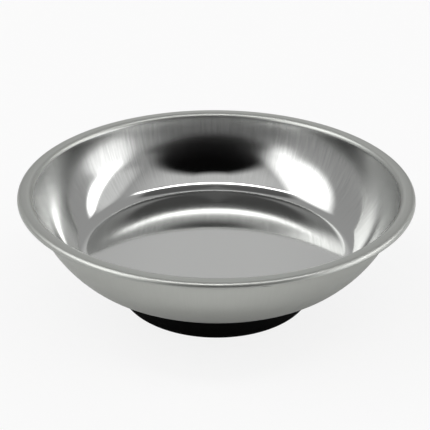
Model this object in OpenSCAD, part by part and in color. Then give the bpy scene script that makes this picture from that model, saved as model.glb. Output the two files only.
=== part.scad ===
// Magnetic parts tray: a round stainless steel dish on a ring magnet in a rubber boot.
// Millimetres, +Z up. The origin is the middle of the underside, on the dish's axis.

/* [Dish] */
// Outside diameter of the rim
rim_d = 150; // [142:1:162]
// Width of the rim, from its outside to where it starts to turn down into the wall
rim_w = 3.6; // [3:0.1:6]
// Inside radius of the bend between rim and wall
rim_bend_r = 1.5; // [0.5:0.1:2.5]
// Inside radius of the bend at the rim's turned-down edge
rim_edge_r = 1.1; // [0.3:0.1:1.5]
// Straight drop of the turned-down edge below its bend
rim_lip_h = 0.1; // [0.1:0.1:2]
// Depth of the dish from the rim's top to its floor
dish_depth = 28.5; // [24:0.5:32]
// Diameter of the flat part of the floor
floor_d = 99; // [92:1:106]
// Inside radius of the bend between floor and wall
floor_bend_r = 9; // [6:0.5:12]
// Slope of the wall just under the rim, in degrees from level
wall_angle = 79; // [74:1:84]
// Thickness of the dish's sheet
sheet_t = 0.7; // [0.5:0.1:1]

/* [Magnet] */
// Outside diameter of the ring magnet
magnet_d = 70; // [60:1:76]
// Diameter of the magnet's hole
magnet_bore_d = 32; // [28:1:36]
// Thickness of the magnet
magnet_t = 10; // [9:1:14]
// Chamfer on the magnet's edges
magnet_chamfer = 0.6; // [0.3:0.1:1]
// Thickness of the foam pad between magnet and dish
pad_t = 1.8; // [1:0.1:2.5]
// Gap between the pad and what is beside it
pad_gap = 0.5; // [0.3:0.1:2]

/* [Boot] */
// Thickness of the boot's side
boot_wall = 2.3; // [1.8:0.1:4]
// Thickness of the boot's underside
boot_floor_t = 2.5; // [2:0.1:4]
// Gap between the boot's side and the magnet
boot_gap = 0.2; // [0.1:0.1:0.5]
// Reach of the boot's lip over the top of the magnet
boot_lip_w = 2; // [1:0.1:3]
// Radius of the boot's outer edges
boot_edge_r = 1.2; // [0.5:0.1:1.6]
// Diameter of the hole that gives access to the nut
access_d = 16; // [14:1:20]

/* [Fixing] */
// Thickness of the retaining plate
plate_t = 2; // [1.5:0.1:2.5]
// Distance from the plate's edge to the magnet's edge
plate_margin = 3; // [2:0.5:6]
// Gap between the plate's raised middle and the magnet's hole
boss_gap = 0.5; // [0.3:0.1:1]
// Inside radius of the plate's bends
plate_bend_r = 0.5; // [0.3:0.1:0.8]
// Distance from the plate's underside up to the nut
nut_recess = 1.8; // [1:0.1:2]
// Length of stud that shows below the nut
stud_end = 0.6; // [0.4:0.1:1]

/* [Hidden] */
$fn = 96;

// Standard M5 hardware. Threads are plain at their pitch diameter.
thread_pitch_d = 4.48;
thread_play = 0.05;
stud_flange_d = 6.5;
stud_flange_t = 1;
stud_hole_d = 5.5;
stud_chamfer = 0.5;
washer_d = 10;
washer_hole_d = 5.3;
washer_t = 1;
lock_d = 9.2;
lock_hole_d = 5.1;
lock_t = 1.2;
lock_split_w = 0.8;
lock_split_angle = 25;
nut_flats = 8;
nut_h = 4;
nut_chamfer_angle = 30;

// Heights, from the underside up
plate_z = boot_floor_t;
magnet_z = plate_z + plate_t;
pad_z = magnet_z + magnet_t;
dish_z = pad_z + pad_t;
floor_z = dish_z + sheet_t;
rim_z = floor_z + dish_depth;

// Boot, plate and pad, from the magnet's size
magnet_r = magnet_d / 2;
bore_r = magnet_bore_d / 2;
boot_in_r = magnet_r + boot_gap;
boot_r = boot_in_r + boot_wall;
boot_lip_r = magnet_r - boot_lip_w;
plate_r = magnet_r - plate_margin;
boss_r = bore_r - boss_gap;

// Fasteners, hung from the underside of the plate's raised middle
boss_h = washer_t + lock_t + nut_h + nut_recess;
washer_z = plate_z + boss_h - washer_t;
lock_z = washer_z - lock_t;
nut_z = lock_z - nut_h;
stud_z = nut_z - stud_end;
stud_r = thread_pitch_d / 2;

// The wall is one arc that meets the rim's bend at wall_angle and the floor's bend at low_angle.
// Its chord leans at the mean of those two angles, which gives the arc's radius.
rim_r = rim_d / 2;
rim_out_r = rim_bend_r + sheet_t;
edge_out_r = rim_edge_r + sheet_t;
rim_bend_c = [rim_r - rim_w, rim_z - rim_out_r];
edge_c = [rim_r - edge_out_r, rim_z - edge_out_r];
floor_bend_c = [floor_d / 2, floor_z + floor_bend_r];
bend_sum = rim_out_r + floor_bend_r;
chord = rim_bend_c - floor_bend_c + bend_sum * [-sin(wall_angle), cos(wall_angle)];
low_angle = 2 * atan2(chord.y, chord.x) - wall_angle;
wall_r = floor_bend_r + chord.x / (sin(wall_angle) - sin(low_angle));
wall_c = rim_bend_c + (rim_out_r + wall_r) * [-sin(wall_angle), cos(wall_angle)];

// Bends of the retaining plate
plate_out_r = plate_bend_r + plate_t;
boss_z = plate_z + boss_h + plate_t;
boss_bend_c = [boss_r - plate_out_r, boss_z - plate_out_r];
foot_bend_c = [boss_r + plate_bend_r, magnet_z + plate_bend_r];

// Steps that a bend and the dish's wall are drawn in
bend_steps = 6;
wall_steps = 16;

// Points on an arc about c, without its first point
function arc(c, r, from, to, steps) = [
    for (i = [1:steps])
        let (angle = from + (to - from) * i / steps)
            c + r * [cos(angle), sin(angle)]
];

function reversed(points) = [
    for (i = [len(points) - 1:-1:0])
        points[i]
];

// Points along the dish's sheet at a depth below its upper side, from the axis to the lip
function dish_side(depth) = concat(
    [[0, floor_z - depth]],
    [[floor_bend_c.x, floor_z - depth]],
    arc(floor_bend_c, floor_bend_r + depth, -90, low_angle - 90, bend_steps),
    arc(wall_c, wall_r + depth, low_angle - 90, wall_angle - 90, wall_steps),
    arc(rim_bend_c, rim_out_r - depth, 90 + wall_angle, 90, bend_steps),
    [[edge_c.x, rim_z - depth]],
    arc(edge_c, edge_out_r - depth, 90, 0, bend_steps),
    [[rim_r - depth, edge_c.y - rim_lip_h]]
);

// The same for the retaining plate, from its hole to its edge
function plate_side(depth) = concat(
    [[stud_hole_d / 2, boss_z - depth]],
    [[boss_bend_c.x, boss_z - depth]],
    arc(boss_bend_c, plate_out_r - depth, 90, 0, bend_steps),
    [[boss_r - depth, foot_bend_c.y]],
    arc(foot_bend_c, plate_bend_r + depth, 180, 270, bend_steps),
    [[plate_r, magnet_z - depth]]
);

// Upright rectangle from radius r0 to r1 and height z0 to z1
module band(r0, r1, z0, z1) {
    translate([r0, z0])
        square([r1 - r0, z1 - z0]);
}

// Half section of a disc that stands on the origin, with both outer edges rounded
module rounded_disc(r, h, edge) {
    band(0, r - edge, 0, h);
    band(0, r, edge, h - edge);
    for (z = [edge, h - edge])
        translate([r - edge, z])
            circle(edge);
}

// Round ring of square section
module ring(d, hole_d, z, h) {
    rotate_extrude()
        band(hole_d / 2, d / 2, z, z + h);
}

// One sheet pressed to shape, from the middle of the floor out to the turned-down edge
module dish() {
    color("silver")
        rotate_extrude()
            polygon(concat(dish_side(0), reversed(dish_side(sheet_t))));
}

// Stud with a weld flange on the dish's underside and a chamfered lower end
module weld_stud() {
    color("gainsboro")
        rotate_extrude()
            polygon([
                [0, stud_z],
                [stud_r - stud_chamfer, stud_z],
                [stud_r, stud_z + stud_chamfer],
                [stud_r, dish_z - stud_flange_t],
                [stud_flange_d / 2, dish_z - stud_flange_t],
                [stud_flange_d / 2, dish_z],
                [0, dish_z]
            ]);
}

// Foam ring between the boot's lip and the magnet's hole
module foam_pad() {
    color("whitesmoke")
        ring(2 * (boot_lip_r - pad_gap), 2 * (bore_r + pad_gap), pad_z, pad_t);
}

// Ferrite ring with chamfered edges
module ring_magnet() {
    c = magnet_chamfer;
    color("dimgray")
        rotate_extrude()
            polygon([
                [bore_r + c, magnet_z],
                [magnet_r - c, magnet_z],
                [magnet_r, magnet_z + c],
                [magnet_r, pad_z - c],
                [magnet_r - c, pad_z],
                [bore_r + c, pad_z],
                [bore_r, pad_z - c],
                [bore_r, magnet_z + c]
            ]);
}

// Pressed plate: a raised middle inside the magnet's hole and a flat ring under the magnet
module retaining_plate() {
    color("lightgray")
        rotate_extrude()
            polygon(concat(plate_side(0), reversed(plate_side(plate_t))));
}

// Plain washer
module flat_washer() {
    color("gainsboro")
        ring(washer_d, washer_hole_d, washer_z, washer_t);
}

// Split washer, pressed flat, with its slanting cut
module lock_washer() {
    color("silver")
        difference() {
            ring(lock_d, lock_hole_d, lock_z, lock_t);
            translate([lock_d / 2, 0, lock_z + lock_t / 2])
                rotate([lock_split_angle, 0, 0])
                    cube([lock_d, lock_split_w, 3 * lock_t], center = true);
        }
}

// Hexagon nut with both ends chamfered
module hex_nut() {
    corner_r = nut_flats / sqrt(3);
    drop = (corner_r - nut_flats / 2) * tan(nut_chamfer_angle);
    bore = stud_r + thread_play;
    color("gainsboro")
        difference() {
            intersection() {
                translate([0, 0, nut_z])
                    cylinder(h = nut_h, r = corner_r, $fn = 6);
                rotate_extrude()
                    polygon([
                        [0, nut_z],
                        [nut_flats / 2, nut_z],
                        [corner_r, nut_z + drop],
                        [corner_r, lock_z - drop],
                        [nut_flats / 2, lock_z],
                        [0, lock_z]
                    ]);
            }
            translate([0, 0, nut_z - nut_h / 2])
                cylinder(h = 2 * nut_h, r = bore);
        }
}

// Rubber cup around plate and magnet, with a lip held between magnet and dish
module rubber_boot() {
    color("black")
        rotate_extrude()
            difference() {
                rounded_disc(boot_r, dish_z, boot_edge_r);
                band(0, access_d / 2, 0, plate_z);
                band(0, plate_r + boot_gap, plate_z, magnet_z);
                band(0, boot_in_r, magnet_z, pad_z);
                band(0, boot_lip_r, pad_z, dish_z);
            }
}

dish();
weld_stud();
foam_pad();
ring_magnet();
retaining_plate();
flat_washer();
lock_washer();
hex_nut();
rubber_boot();
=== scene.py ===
import math

import bmesh
import bpy
from mathutils import Matrix, Vector


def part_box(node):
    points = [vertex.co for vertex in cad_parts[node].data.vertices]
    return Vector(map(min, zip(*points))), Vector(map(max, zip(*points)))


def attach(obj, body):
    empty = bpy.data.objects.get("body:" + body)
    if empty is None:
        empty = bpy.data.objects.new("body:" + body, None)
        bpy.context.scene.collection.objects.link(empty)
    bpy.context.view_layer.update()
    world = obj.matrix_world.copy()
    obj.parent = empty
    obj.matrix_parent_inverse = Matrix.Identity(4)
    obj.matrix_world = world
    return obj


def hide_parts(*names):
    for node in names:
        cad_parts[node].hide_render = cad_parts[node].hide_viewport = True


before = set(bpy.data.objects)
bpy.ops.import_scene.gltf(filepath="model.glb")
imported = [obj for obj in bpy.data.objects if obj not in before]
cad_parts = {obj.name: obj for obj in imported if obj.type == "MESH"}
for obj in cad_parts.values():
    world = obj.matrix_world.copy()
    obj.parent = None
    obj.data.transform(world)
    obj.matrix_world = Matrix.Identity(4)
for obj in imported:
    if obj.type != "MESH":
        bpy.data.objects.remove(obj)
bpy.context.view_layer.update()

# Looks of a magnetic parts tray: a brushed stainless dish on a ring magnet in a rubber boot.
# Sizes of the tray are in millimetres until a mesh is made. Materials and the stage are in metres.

MM = 0.001

# Section of the dish's sheet
RIM_W = 3.6
RIM_BEND_R = 1.5
RIM_EDGE_R = 1.1
RIM_LIP_H = 0.1
FLOOR_D = 99.0
FLOOR_BEND_R = 9.0
WALL_ANGLE = 79.0
SHEET_T = 0.7
LIP_CORNER_R = 0.1

# Section of the rubber boot
BOOT_EDGE_R = 1.2
BOOT_INNER_EDGE_R = 0.5
BOOT_FLOOR_T = 2.5
BOOT_GAP = 0.2
BOOT_LIP_W = 2.0
ACCESS_R = 8.0

# M5 stud and nut
THREAD_MAJOR_R = 2.5
THREAD_MINOR_R = 2.06
THREAD_PITCH = 0.8
THREAD_FLANK_SLOPE = 1.3
THREAD_ROOT_CUT = 0.15
STUD_FLANGE_R = 3.25
STUD_FLANGE_T = 1.0
STUD_CHAMFER = 0.5
NUT_BORE_R = 2.29
NUT_CHAMFER_ANGLE = 30.0

# Fineness of the meshes
TURNED_SEGMENTS = 192
STUD_SEGMENTS = 48
NUT_SEGMENTS = 144
BEND_STEPS = 8
WALL_STEPS = 28
FLOOR_STEPS = 12
STEPS_PER_PITCH = 8
NUT_STEP = 0.1
ON_AXIS_R = 1e-6

# Steel of the dish: radii between which its polish fades, and between which the wall's draw lines set in
POLISH_END_R = 59.0
SATIN_START_R = 69.0
DRAW_START_R = 52.0
DRAW_FULL_R = 64.0

# Fineness of the draw lines, and how much they and the brush lines show
DRAW_LINES_ROUND = 110.0
DRAW_LINES_UP = 60.0
DRAW_DARKENING = 0.8
DRAW_HEIGHT = 0.1
FINE_SHARE = 0.65
LINE_DEPTH = 0.00002

POLISHED_STEEL = (0.6, 0.605, 0.595, 1.0)
RIM_STEEL = (0.53, 0.54, 0.515, 1.0)
SATIN_STEEL = (0.53, 0.54, 0.51, 1.0)

# Values between which most of a noise lies
NOISE_LOW = 0.3
NOISE_HIGH = 0.7

# Floor of the stage, and its share of plain white as the camera and as polished metal see it
FLOOR_RADIUS = 8.0
FLOOR_SEGMENTS = 96
FLOOR_WHITE = 0.85
FLOOR_MIRRORED_WHITE = 0.08

# Camera, in metres and degrees, and its lens in millimetres
CAMERA_DISTANCE = 0.45
CAMERA_ELEVATION = 25.793
CAMERA_PITCH = 1.51
CAMERA_YAW = -0.061
CAMERA_ROLL = 0.371
CAMERA_LENS = 99.194
CAMERA_SENSOR = 36.0


def top_of(node):
    """Height of a node's highest point."""
    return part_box(node)[1].z / MM


def bottom_of(node):
    """Height of a node's lowest point."""
    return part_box(node)[0].z / MM


def reach_of(node):
    """Largest distance of a node from the axis, along X."""
    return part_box(node)[1].x / MM


# Sections

def polar(angle):
    """Unit vector at an angle in degrees."""
    return Vector((math.cos(math.radians(angle)), math.sin(math.radians(angle))))


def arc(centre, radius, start, end, steps):
    """Points on an arc, without its first point."""
    turn = (end - start) / steps
    return [centre + radius * polar(start + turn * i) for i in range(1, steps + 1)]


def line(start, end, steps):
    """Points on a straight line, without its first point."""
    return [start.lerp(end, i / steps) for i in range(1, steps + 1)]


class DishSection:
    """Bends of the dish's sheet: floor bend, one wall arc, rim bend and turned-down edge."""

    def __init__(self):
        self.rim_z = top_of("dish")
        self.rim_r = reach_of("dish")
        self.floor_z = bottom_of("dish") + SHEET_T
        self.rim_out_r = RIM_BEND_R + SHEET_T
        self.edge_out_r = RIM_EDGE_R + SHEET_T
        self.rim_bend = Vector((self.rim_r - RIM_W, self.rim_z - self.rim_out_r))
        self.edge_bend = Vector((self.rim_r - self.edge_out_r, self.rim_z - self.edge_out_r))
        self.floor_bend = Vector((FLOOR_D / 2, self.floor_z + FLOOR_BEND_R))
        steep = polar(WALL_ANGLE + 90)
        chord = self.rim_bend - self.floor_bend + (self.rim_out_r + FLOOR_BEND_R) * steep
        self.low_angle = 2 * math.degrees(math.atan2(chord.y, chord.x)) - WALL_ANGLE
        rise = math.sin(math.radians(WALL_ANGLE)) - math.sin(math.radians(self.low_angle))
        self.wall_r = FLOOR_BEND_R + chord.x / rise
        self.wall = self.rim_bend + (self.rim_out_r + self.wall_r) * steep

    def floor_and_wall(self, depth):
        """Points from the axis up to the rim's bend, at a depth below the upper side."""
        floor_z = self.floor_z - depth
        foot = Vector((self.floor_bend.x, floor_z))
        middle = Vector((0.0, floor_z))
        low = self.low_angle - 90
        high = WALL_ANGLE - 90
        points = [middle] + line(middle, foot, FLOOR_STEPS)
        points += arc(self.floor_bend, FLOOR_BEND_R + depth, -90, low, BEND_STEPS)
        points += arc(self.wall, self.wall_r + depth, low, high, WALL_STEPS)
        return points

    def rim(self, depth):
        """Points from the top of the wall over the level rim and round its turned-down edge."""
        points = arc(self.rim_bend, self.rim_out_r - depth, WALL_ANGLE + 90, 90, BEND_STEPS)
        points.append(Vector((self.edge_bend.x, self.rim_z - depth)))
        points += arc(self.edge_bend, self.edge_out_r - depth, 90, 0, BEND_STEPS)
        return points

    def lip_end(self):
        """Rounded lower edge of the lip, from its outside to its inside."""
        z = self.edge_bend.y - RIM_LIP_H + LIP_CORNER_R
        outside = Vector((self.rim_r - LIP_CORNER_R, z))
        inside = Vector((self.rim_r - SHEET_T + LIP_CORNER_R, z))
        points = [Vector((self.rim_r, z))]
        points += arc(outside, LIP_CORNER_R, 0, -90, BEND_STEPS // 2)
        points.append(Vector((inside.x, z - LIP_CORNER_R)))
        points += arc(inside, LIP_CORNER_R, -90, -180, BEND_STEPS // 2)
        return points


def boot_section():
    """Closed section of the boot: outer side with rounded edges, and the hollow for plate and magnet."""
    top = top_of("rubber_boot")
    outer = reach_of("rubber_boot")
    plate_r = reach_of("retaining_plate") + BOOT_GAP
    magnet_r = reach_of("ring_magnet") + BOOT_GAP
    magnet_z = bottom_of("ring_magnet")
    pad_z = top_of("ring_magnet")
    lip_r = reach_of("ring_magnet") - BOOT_LIP_W
    edge = BOOT_EDGE_R
    soft = BOOT_INNER_EDGE_R
    points = [Vector((ACCESS_R, BOOT_FLOOR_T)), Vector((ACCESS_R, soft))]
    points += arc(Vector((ACCESS_R + soft, soft)), soft, 180, 270, BEND_STEPS)
    points += line(Vector((ACCESS_R + soft, 0)), Vector((outer - edge, 0)), FLOOR_STEPS)
    points += arc(Vector((outer - edge, edge)), edge, -90, 0, BEND_STEPS)
    points += line(Vector((outer, edge)), Vector((outer, top - edge)), BEND_STEPS)
    points += arc(Vector((outer - edge, top - edge)), edge, 0, 90, BEND_STEPS)
    points += [Vector((lip_r, top)), Vector((lip_r, pad_z))]
    points += [Vector((magnet_r, pad_z)), Vector((magnet_r, magnet_z))]
    points += [Vector((plate_r, magnet_z)), Vector((plate_r, BOOT_FLOOR_T))]
    return points


# Meshes

def ring_of(mesh, radius_at, z, segments):
    """Ring of vertices whose radius may change with the angle, or one vertex on the axis."""
    angles = [2 * math.pi * i / segments for i in range(segments)]
    radii = [radius_at(angle) for angle in angles]
    if max(radii) < ON_AXIS_R:
        return [mesh.verts.new((0, 0, z * MM))]
    ring = []
    for angle, radius in zip(angles, radii):
        reach = radius * MM
        ring.append(mesh.verts.new((reach * math.cos(angle), reach * math.sin(angle), z * MM)))
    return ring


def bridge(mesh, a, b):
    """Faces between two rings, where either may be one vertex on the axis."""
    faces = []
    for i in range(max(len(a), len(b))):
        j = i + 1
        corners = [a[i % len(a)], a[j % len(a)], b[j % len(b)], b[i % len(b)]]
        corners = [v for k, v in enumerate(corners) if v not in corners[:k]]
        faces.append(mesh.faces.new(corners))
    return faces


def shell(name, rows, segments, closed=False, zones=None, sharp_angle=None):
    """Object through rows of (radius function, height). Zones gives each band's material slot."""
    mesh = bmesh.new()
    rings = [ring_of(mesh, radius_at, z, segments) for radius_at, z in rows]
    pairs = list(zip(rings, rings[1:]))
    if closed:
        pairs.append((rings[-1], rings[0]))
    for i, (a, b) in enumerate(pairs):
        for face in bridge(mesh, a, b):
            face.smooth = True
            face.material_index = zones[i] if zones else 0
    bmesh.ops.recalc_face_normals(mesh, faces=mesh.faces)
    made = object_of(name, mesh)
    if sharp_angle:
        made.data.set_sharp_from_angle(angle=math.radians(sharp_angle))
    return made


def object_of(name, mesh):
    """Object in the scene with a finished mesh."""
    data = bpy.data.meshes.new(name)
    mesh.to_mesh(data)
    mesh.free()
    made = bpy.data.objects.new(name, data)
    bpy.context.scene.collection.objects.link(made)
    return made


def turned(points):
    """Rows of a shell for a section of (radius, height) points."""
    return [(lambda angle, r=p.x: r, p.y) for p in points]


def steps_between(start, end, pitch):
    """Evenly spaced heights from start to end, about a pitch apart."""
    count = max(1, round((end - start) / pitch))
    return [start + (end - start) * i / count for i in range(count + 1)]


def thread_radius(angle, z, limit):
    """Radius of a right-hand thread at an angle and height, cut off at a limit."""
    phase = (z / THREAD_PITCH - angle / (2 * math.pi)) % 1
    flank = abs(2 * phase - 1)
    crest = min(1, max(0, THREAD_FLANK_SLOPE * flank - THREAD_ROOT_CUT))
    return min(limit, THREAD_MINOR_R + (THREAD_MAJOR_R - THREAD_MINOR_R) * crest)


def hexagon_radius(angle, flats, limit):
    """Radius of a hexagon at an angle, cut off at a limit."""
    from_flat = (angle % (math.pi / 3)) - math.pi / 6
    return min(limit, flats / 2 / math.cos(from_flat))


# Pieces

def make_dish(inside, rim, outside):
    """The pressed dish as one closed sheet."""
    section = DishSection()
    upper = section.floor_and_wall(0)
    over = section.rim(0)
    end = section.lip_end()
    under = list(reversed(section.floor_and_wall(SHEET_T) + section.rim(SHEET_T)))
    zones = [0] * len(upper) + [1] * (len(over) + len(end)) + [2] * len(under)
    dish = shell("brushed_dish", turned(upper + over + end + under), TURNED_SEGMENTS, zones=zones)
    place(dish, "dish", "stainless", inside, rim, outside)


def make_boot(material):
    """The rubber boot with its rounded edges."""
    boot = shell("moulded_boot", turned(boot_section()), TURNED_SEGMENTS, closed=True, sharp_angle=50)
    place(boot, "rubber_boot", "rubber", material)


def make_stud(material):
    """Weld stud with a rolled thread up to its flange."""
    low = bottom_of("weld_stud")
    top = top_of("weld_stud")
    flange_z = top - STUD_FLANGE_T
    rows = [(lambda angle: 0, low)]
    for z in steps_between(low, flange_z, THREAD_PITCH / STEPS_PER_PITCH):
        limit = THREAD_MAJOR_R - STUD_CHAMFER + (z - low)
        rows.append((lambda angle, z=z, limit=limit: thread_radius(angle, z, limit), z))
    rows += turned([Vector((STUD_FLANGE_R, flange_z)), Vector((STUD_FLANGE_R, top)), Vector((0, top))])
    stud = shell("threaded_stud", rows, STUD_SEGMENTS, sharp_angle=40)
    place(stud, "weld_stud", "zinc", material)


def make_nut(material):
    """Hexagon nut with a plain bore, chamfered at both ends."""
    low = bottom_of("hex_nut")
    top = top_of("hex_nut")
    flats = (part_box("hex_nut")[1].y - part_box("hex_nut")[0].y) / MM
    slope = math.tan(math.radians(NUT_CHAMFER_ANGLE))
    rows = turned([Vector((NUT_BORE_R, top)), Vector((NUT_BORE_R, low))])
    for z in steps_between(low, top, NUT_STEP):
        limit = flats / 2 + min(z - low, top - z) / slope
        rows.append((lambda angle, limit=limit: hexagon_radius(angle, flats, limit), z))
    nut = shell("chamfered_nut", rows, NUT_SEGMENTS, closed=True, sharp_angle=25)
    place(nut, "hex_nut", "zinc", material)


def place(piece, node, slot, *materials):
    """Lets a piece stand for a node, with its own materials. Slot is not used."""
    for material in materials:
        piece.data.materials.append(material)
    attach(piece, "root")
    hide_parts(node)


def dress(node, material):
    """Gives its material to a node that keeps its own mesh."""
    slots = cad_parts[node].data.materials
    slots.clear()
    slots.append(material)


# Materials

class Nodes:
    """Short ways to build one node tree."""

    def __init__(self, tree):
        self.tree = tree

    def feed(self, node, inputs):
        """Sets a node's inputs, each to a constant or from another node's output."""
        for key, value in inputs.items():
            if isinstance(value, bpy.types.NodeSocket):
                self.tree.links.new(value, node.inputs[key])
            else:
                node.inputs[key].default_value = value

    def add(self, kind, inputs=None, **settings):
        """New node with its settings and inputs."""
        made = self.tree.nodes.new(kind)
        for name, value in settings.items():
            setattr(made, name, value)
        self.feed(made, inputs or {})
        return made

    def math(self, operation, *values):
        return self.add("ShaderNodeMath", dict(enumerate(values)), operation=operation).outputs[0]

    def total(self, first, *others):
        """Sum of two or more values."""
        for value in others:
            first = self.math("ADD", first, value)
        return first

    def product(self, first, *others):
        """Product of two or more values."""
        for value in others:
            first = self.math("MULTIPLY", first, value)
        return first

    def span(self, value, low, high, to_low, to_high):
        """Smoothly maps a value from one span to another, without leaving the second."""
        inputs = dict(enumerate((value, low, high, to_low, to_high)))
        return self.add("ShaderNodeMapRange", inputs, interpolation_type="SMOOTHSTEP").outputs[0]

    def spread(self, noise, to_low, to_high):
        """Maps the values that a noise mostly has to a span."""
        return self.span(noise, NOISE_LOW, NOISE_HIGH, to_low, to_high)

    def noise(self, vector, scale, detail):
        inputs = {"Vector": vector, "Scale": scale, "Detail": detail}
        return self.add("ShaderNodeTexNoise", inputs).outputs["Fac"]

    def cells(self, vector, scale):
        """Distance from the middle of the nearest of many cells."""
        return self.add("ShaderNodeTexVoronoi", {"Vector": vector, "Scale": scale}).outputs["Distance"]

    def split(self, vector):
        """The three axes of a vector."""
        return self.add("ShaderNodeSeparateXYZ", {0: vector}).outputs

    def join(self, *axes):
        """Vector of three axes."""
        return self.add("ShaderNodeCombineXYZ", dict(enumerate(axes))).outputs[0]

    def mix(self, factor, a, b):
        """Colour between two colours."""
        return self.add("ShaderNodeMix", {0: factor, 6: a, 7: b}, data_type="RGBA").outputs[2]

    def bump(self, height, distance, strength):
        inputs = {"Height": height, "Distance": distance, "Strength": strength}
        return self.add("ShaderNodeBump", inputs).outputs["Normal"]

    def clear_ray(self):
        """One for what the camera sees directly or through glass, otherwise zero."""
        ray = self.add("ShaderNodeLightPath").outputs
        return self.math("MAXIMUM", ray["Is Camera Ray"], ray["Is Transmission Ray"])


def new_material(name):
    """Empty node material: its nodes, its surface shader and the object's coordinates."""
    material = bpy.data.materials.new(name)
    material.use_nodes = True
    nodes = Nodes(material.node_tree)
    shader = material.node_tree.nodes["Principled BSDF"]
    where = nodes.add("ShaderNodeTexCoord").outputs["Object"]
    return material, nodes, shader, where


def turned_place(nodes, where):
    """Distance from the axis, a measure that grows along the section, and the direction from the axis."""
    axes = nodes.split(where)
    radius = nodes.math("SQRT", nodes.total(nodes.product(axes[0], axes[0]), nodes.product(axes[1], axes[1])))
    travel = nodes.total(radius, axes[2])
    turn = [nodes.math("DIVIDE", axes[i], radius) for i in range(2)]
    return radius, travel, turn


def brush_lines(nodes, travel, turn, lines_per_mm, sweep):
    """Long fine lines round the axis, as a turning brush leaves them."""
    across = nodes.product(travel, lines_per_mm / MM)
    along = [nodes.product(axis, sweep) for axis in turn]
    return nodes.noise(nodes.join(across, *along), scale=1.0, detail=3.0)


def draw_lines(nodes, travel, turn):
    """Fine lines from the floor to the rim, as the press leaves them in a drawn wall."""
    across = [nodes.product(axis, DRAW_LINES_ROUND) for axis in turn]
    along = nodes.product(travel, DRAW_LINES_UP)
    return nodes.noise(nodes.join(*across, along), scale=1.0, detail=3.0)


def stainless(name, colour, rough, anisotropy, brushed, drawn):
    """Stainless steel with brush lines and draw lines. Rough is its roughness at the floor and at the rim."""
    material, nodes, shader, where = new_material(name)
    radius, travel, turn = turned_place(nodes, where)
    fine = brush_lines(nodes, travel, turn, lines_per_mm=4.0, sweep=9.0)
    coarse = brush_lines(nodes, travel, turn, lines_per_mm=0.9, sweep=4.0)
    lines = nodes.total(nodes.product(fine, FINE_SHARE), nodes.product(coarse, 1 - FINE_SHARE))
    on_wall = nodes.span(radius, DRAW_START_R * MM, DRAW_FULL_R * MM, 0.0, drawn)
    streaks = nodes.product(nodes.spread(draw_lines(nodes, travel, turn), 0.0, 1.0), on_wall)
    smudges = nodes.noise(where, scale=32.0, detail=4.0)
    polish = nodes.span(radius, POLISH_END_R * MM, SATIN_START_R * MM, rough[0], rough[1])
    worn = nodes.span(smudges, 0.35, 0.7, 0.94, 1.03)
    darker = tuple(channel * DRAW_DARKENING for channel in colour[:3]) + (1.0,)
    height = nodes.total(nodes.product(lines, brushed), nodes.product(streaks, DRAW_HEIGHT))
    nodes.feed(shader, {
        "Base Color": nodes.mix(streaks, colour, darker),
        "Metallic": 1.0,
        "Roughness": nodes.product(polish, nodes.spread(lines, 0.95, 1.03), worn),
        "Anisotropic": anisotropy,
        "Anisotropic Rotation": 0.0,
        "Tangent": nodes.add("ShaderNodeTangent", direction_type="RADIAL", axis="Z").outputs[0],
        "Normal": nodes.bump(height, distance=LINE_DEPTH, strength=1.0),
    })
    return material


def rubber(name):
    """Moulded black rubber: fine grain, cloudy sheen, and dust worn into the foot's edge."""
    material, nodes, shader, where = new_material(name)
    grain = nodes.noise(where, scale=2600.0, detail=2.0)
    cloud = nodes.noise(where, scale=60.0, detail=4.0)
    foot = nodes.span(nodes.split(where)[2], 0.0003, 0.0022, 1.0, 0.0)
    scuffs = nodes.span(nodes.noise(where, scale=420.0, detail=5.0), 0.5, 0.72, 0.0, 0.6)
    black = nodes.mix(cloud, (0.002, 0.002, 0.002, 1), (0.004, 0.004, 0.004, 1))
    nodes.feed(shader, {
        "Base Color": nodes.mix(nodes.product(foot, scuffs), black, (0.016, 0.0155, 0.015, 1)),
        "Roughness": nodes.spread(cloud, 0.5, 0.68),
        "Specular IOR Level": 0.05,
        "Normal": nodes.bump(grain, distance=0.00012, strength=0.35),
    })
    return material


def plated(name, colour, warm, rough, cell_scale):
    """Zinc-plated steel: cloudy passivated colour over a faint crystal pattern."""
    material, nodes, shader, where = new_material(name)
    cloud = nodes.noise(where, scale=260.0, detail=4.0)
    crystal = nodes.cells(where, cell_scale)
    speck = nodes.noise(where, scale=5200.0, detail=3.0)
    cloudy = nodes.spread(cloud, rough - 0.06, rough + 0.06)
    nodes.feed(shader, {
        "Base Color": nodes.mix(nodes.span(cloud, 0.35, 0.65, 0.0, 1.0), colour, warm),
        "Metallic": 1.0,
        "Roughness": nodes.total(cloudy, nodes.product(crystal, 0.12)),
        "Normal": nodes.bump(speck, distance=0.00003, strength=0.3),
    })
    return material


def ferrite(name):
    """Sintered ferrite: dark grey, matt, with grain and ground lines."""
    material, nodes, shader, where = new_material(name)
    grain = nodes.noise(where, scale=3200.0, detail=4.0)
    blotch = nodes.noise(where, scale=90.0, detail=3.0)
    ground_scales = (3000.0, 40.0, 400.0)
    stretched = [nodes.product(axis, scale) for axis, scale in zip(nodes.split(where), ground_scales)]
    ground = nodes.noise(nodes.join(*stretched), scale=1.0, detail=2.0)
    height = nodes.total(grain, nodes.product(ground, 0.6))
    blotched = nodes.spread(blotch, 0.0, 1.0)
    nodes.feed(shader, {
        "Base Color": nodes.mix(blotched, (0.035, 0.034, 0.036, 1), (0.07, 0.068, 0.07, 1)),
        "Roughness": nodes.spread(grain, 0.45, 0.68),
        "Normal": nodes.bump(height, distance=0.00006, strength=0.4),
    })
    return material


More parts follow.
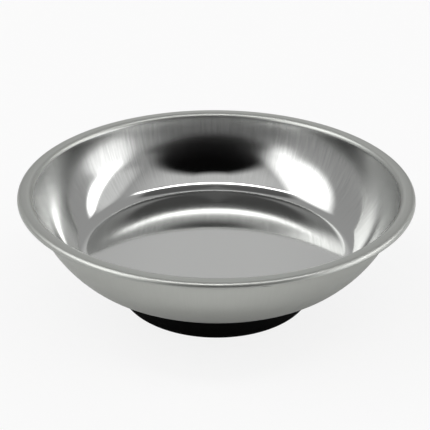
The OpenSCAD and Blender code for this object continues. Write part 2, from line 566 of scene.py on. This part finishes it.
def foam(name):
    """Closed-cell foam: pale, matt and full of small pores, with painted shade in each pore."""
    material, nodes, shader, where = new_material(name)
    pores = nodes.cells(where, 1400.0)
    cloud = nodes.noise(where, scale=120.0, detail=3.0)
    pale = nodes.mix(cloud, (0.62, 0.61, 0.58, 1), (0.72, 0.71, 0.69, 1))
    nodes.feed(shader, {
        # Painted shade: the colour darkens towards the middle of each pore.
        "Base Color": nodes.mix(nodes.span(pores, 0.1, 0.45, 0.6, 0.0), pale, (0.4, 0.39, 0.37, 1)),
        "Roughness": nodes.spread(cloud, 0.85, 0.97),
        "Normal": nodes.bump(pores, distance=0.0002, strength=0.5),
    })
    return material


# Stage

def pale_floor():
    """Pale matt floor with a faint mottle, whitened where the camera sees it and less so in mirrors."""
    material, nodes, shader, where = new_material("pale_floor")
    mottle = nodes.noise(where, scale=8.0, detail=2.0)
    nodes.feed(shader, {
        "Base Color": nodes.mix(mottle, (0.86, 0.86, 0.86, 1), (0.88, 0.88, 0.88, 1)),
        "Roughness": 0.9,
    })
    glossy_ray = nodes.add("ShaderNodeLightPath").outputs["Is Glossy Ray"]
    seen = nodes.product(nodes.clear_ray(), FLOOR_WHITE)
    mirrored = nodes.product(glossy_ray, FLOOR_MIRRORED_WHITE)
    share = nodes.math("MAXIMUM", seen, mirrored)
    white = nodes.add("ShaderNodeEmission").outputs[0]
    mixed = nodes.add("ShaderNodeMixShader", {0: share, 1: shader.outputs[0], 2: white}).outputs[0]
    nodes.feed(material.node_tree.nodes["Material Output"], {"Surface": mixed})
    return material


def make_floor():
    """Wide round floor that the tray stands on."""
    mesh = bmesh.new()
    bmesh.ops.create_circle(mesh, cap_ends=True, segments=FLOOR_SEGMENTS, radius=FLOOR_RADIUS)
    floor = object_of("floor", mesh)
    floor.data.materials.append(pale_floor())


class Sky:
    """Directions of the studio in degrees, and soft shapes among them. Azimuth 0 is the front."""

    def __init__(self, nodes):
        self.nodes = nodes
        right, back, up = nodes.split(nodes.add("ShaderNodeTexCoord").outputs["Generated"])
        front = nodes.product(back, -1.0)
        self.azimuth = self.degrees("ARCTAN2", right, front)
        self.facing = nodes.math("ABSOLUTE", self.azimuth)
        self.elevation = self.degrees("ARCSINE", up)
        self.front_tilt = self.degrees("ARCTAN2", front, up)
        self.side_tilt = self.degrees("ARCTAN2", right, up)

    def degrees(self, operation, *values):
        """Angle in degrees from an inverse function."""
        return self.nodes.math("DEGREES", self.nodes.math(operation, *values))

    def squared(self, value, middle, half):
        """Square of a value's distance from a middle, in units of half a width."""
        offset = self.nodes.math("DIVIDE", self.nodes.math("SUBTRACT", value, middle), half)
        return self.nodes.product(offset, offset)

    def oval(self, at, half, inside, outside, core, lean=0.0):
        """One value in an oval's core and another outside the oval. Lean is its rise per degree."""
        rise = self.nodes.product(self.nodes.math("SUBTRACT", self.azimuth, at[0]), lean)
        level = self.nodes.math("SUBTRACT", self.elevation, rise)
        across = self.squared(self.azimuth, at[0], half[0])
        upright = self.squared(level, at[1], half[1])
        return self.nodes.span(self.nodes.total(across, upright), core, 1.0, inside, outside)

    def glow(self, at, half, strength, core, lean=0.0):
        """Light from an oval, and none from outside it."""
        return self.oval(at, half, strength, 0.0, core, lean)

    def shade(self, at, half, share, core):
        """Share of the light that is left in an oval, with all of it outside."""
        return self.oval(at, half, share, 1.0, core)

    def strip(self, tilt, half_width, half_length, strength):
        """Strip lamp overhead, from side to side, whose ends bow towards the back."""
        bow = self.nodes.product(self.squared(self.side_tilt, 0.0, 26.0), -8.3)
        across = self.squared(self.front_tilt, self.nodes.total(bow, tilt), half_width)
        along = self.squared(self.side_tilt, 0.0, half_length)
        length = self.nodes.span(along, 0.6, 1.0, strength, 0.0)
        return self.nodes.product(self.nodes.span(across, 0.3, 1.0, 1.0, 0.0), length)


def studio_light(nodes):
    """Brightness by direction: grey room with a dark front, soft lights left and right, and a strip lamp."""
    sky = Sky(nodes)
    walls = nodes.span(sky.facing, 163.0, 178.0, 0.44, 0.68)
    front_height = nodes.span(sky.elevation, 38.0, 58.0, 0.0, 1.0)
    front_band = nodes.product(front_height, nodes.span(sky.facing, 50.0, 120.0, 0.34, 0.0))
    behind_strip = nodes.span(sky.front_tilt, 8.0, 14.0, 0.3, 1.0)
    ceiling = nodes.math("MAXIMUM", behind_strip, nodes.span(sky.elevation, 58.0, 66.0, 1.0, 0.0))
    above_dark = nodes.span(sky.elevation, 56.0, 62.5, 0.0, 1.0)
    dark_front = sky.shade(at=(5.0, 39.0), half=(52.0, 26.0), share=0.004, core=0.5)
    dark = nodes.math("MAXIMUM", dark_front, above_dark)
    dark_sill = sky.shade(at=(4.0, 25.0), half=(54.0, 8.5), share=0.05, core=0.5)
    low_front = sky.shade(at=(0.0, 5.0), half=(55.0, 22.0), share=0.45, core=0.4)
    room = nodes.product(nodes.total(walls, front_band), ceiling, dark, dark_sill, low_front)
    left_window = sky.glow(at=(-85.0, 41.0), half=(55.0, 17.0), strength=2.2, core=0.1, lean=-0.15)
    left_spot = sky.glow(at=(-48.0, 25.0), half=(11.0, 7.0), strength=1.25, core=0.1)
    right_window = sky.glow(at=(78.0, 13.5), half=(21.5, 16.5), strength=1.4, core=0.45)
    right_band = sky.glow(at=(101.0, 26.9), half=(32.0, 5.2), strength=5.2, core=0.0, lean=0.1)
    right_glow = sky.glow(at=(95.0, 36.0), half=(36.0, 10.0), strength=0.45, core=0.2)
    strip = sky.strip(tilt=14.5, half_width=4.2, half_length=40.0, strength=5.0)
    return nodes.total(room, left_window, left_spot, right_window, right_band, right_glow, strip)


def make_world():
    """Studio that lights the tray and shows in its metal. The camera itself sees plain white."""
    world = bpy.data.worlds.new("studio")
    world.use_nodes = True
    bpy.context.scene.world = world
    nodes = Nodes(world.node_tree)
    strength = nodes.span(nodes.clear_ray(), 0.0, 1.0, studio_light(nodes), 1.0)
    nodes.feed(world.node_tree.nodes["Background"], {"Color": (1, 1, 1, 1), "Strength": strength})


def turned_pair(first, second, angle):
    """Two square directions, turned in their own plane by an angle in degrees from first to second."""
    cos = math.cos(math.radians(angle))
    sin = math.sin(math.radians(angle))
    return first * cos + second * sin, second * cos - first * sin


def make_camera():
    """Camera a little under half a metre from the rim's middle, looking down into the dish."""
    elevation = math.radians(CAMERA_ELEVATION)
    ahead = Vector((0, math.cos(elevation), -math.sin(elevation)))
    up = Vector((0, math.sin(elevation), math.cos(elevation)))
    right = Vector((1, 0, 0))
    spot = Vector((0, 0, top_of("dish") * MM)) - ahead * CAMERA_DISTANCE
    ahead, up = turned_pair(ahead, up, -CAMERA_PITCH)
    ahead, right = turned_pair(ahead, right, CAMERA_YAW)
    right, up = turned_pair(right, up, CAMERA_ROLL)
    data = bpy.data.cameras.new("camera")
    data.sensor_width = CAMERA_SENSOR
    data.lens = CAMERA_LENS
    camera = bpy.data.objects.new("camera", data)
    camera.matrix_world = Matrix.Translation(spot) @ Matrix((right, up, -ahead)).transposed().to_4x4()
    bpy.context.scene.collection.objects.link(camera)
    bpy.context.scene.camera = camera


make_dish(
    inside=stainless("stainless_inside", POLISHED_STEEL, rough=(0.06, 0.25),
                     anisotropy=0.55, brushed=0.003, drawn=0.6),
    rim=stainless("stainless_rim", RIM_STEEL, rough=(0.4, 0.4),
                  anisotropy=0.0, brushed=0.0, drawn=0.0),
    outside=stainless("stainless_outside", SATIN_STEEL, rough=(0.32, 0.32),
                      anisotropy=0.4, brushed=0.01, drawn=0.1),
)
zinc = plated("zinc", (0.56, 0.58, 0.61, 1), warm=(0.62, 0.6, 0.53, 1), rough=0.32, cell_scale=900.0)
make_boot(rubber("boot_rubber"))
make_stud(zinc)
make_nut(zinc)
dress("flat_washer", zinc)
dress("lock_washer", plated("spring_steel", (0.34, 0.34, 0.35, 1), warm=(0.4, 0.38, 0.34, 1),
                            rough=0.38, cell_scale=1400.0))
dress("retaining_plate", plated("plate_steel", (0.5, 0.52, 0.55, 1), warm=(0.58, 0.57, 0.52, 1),
                                rough=0.36, cell_scale=350.0))
dress("ring_magnet", ferrite("sintered_ferrite"))
dress("foam_pad", foam("pale_foam"))

make_floor()
make_world()
make_camera()
bpy.context.scene.view_settings.view_transform = "Standard"
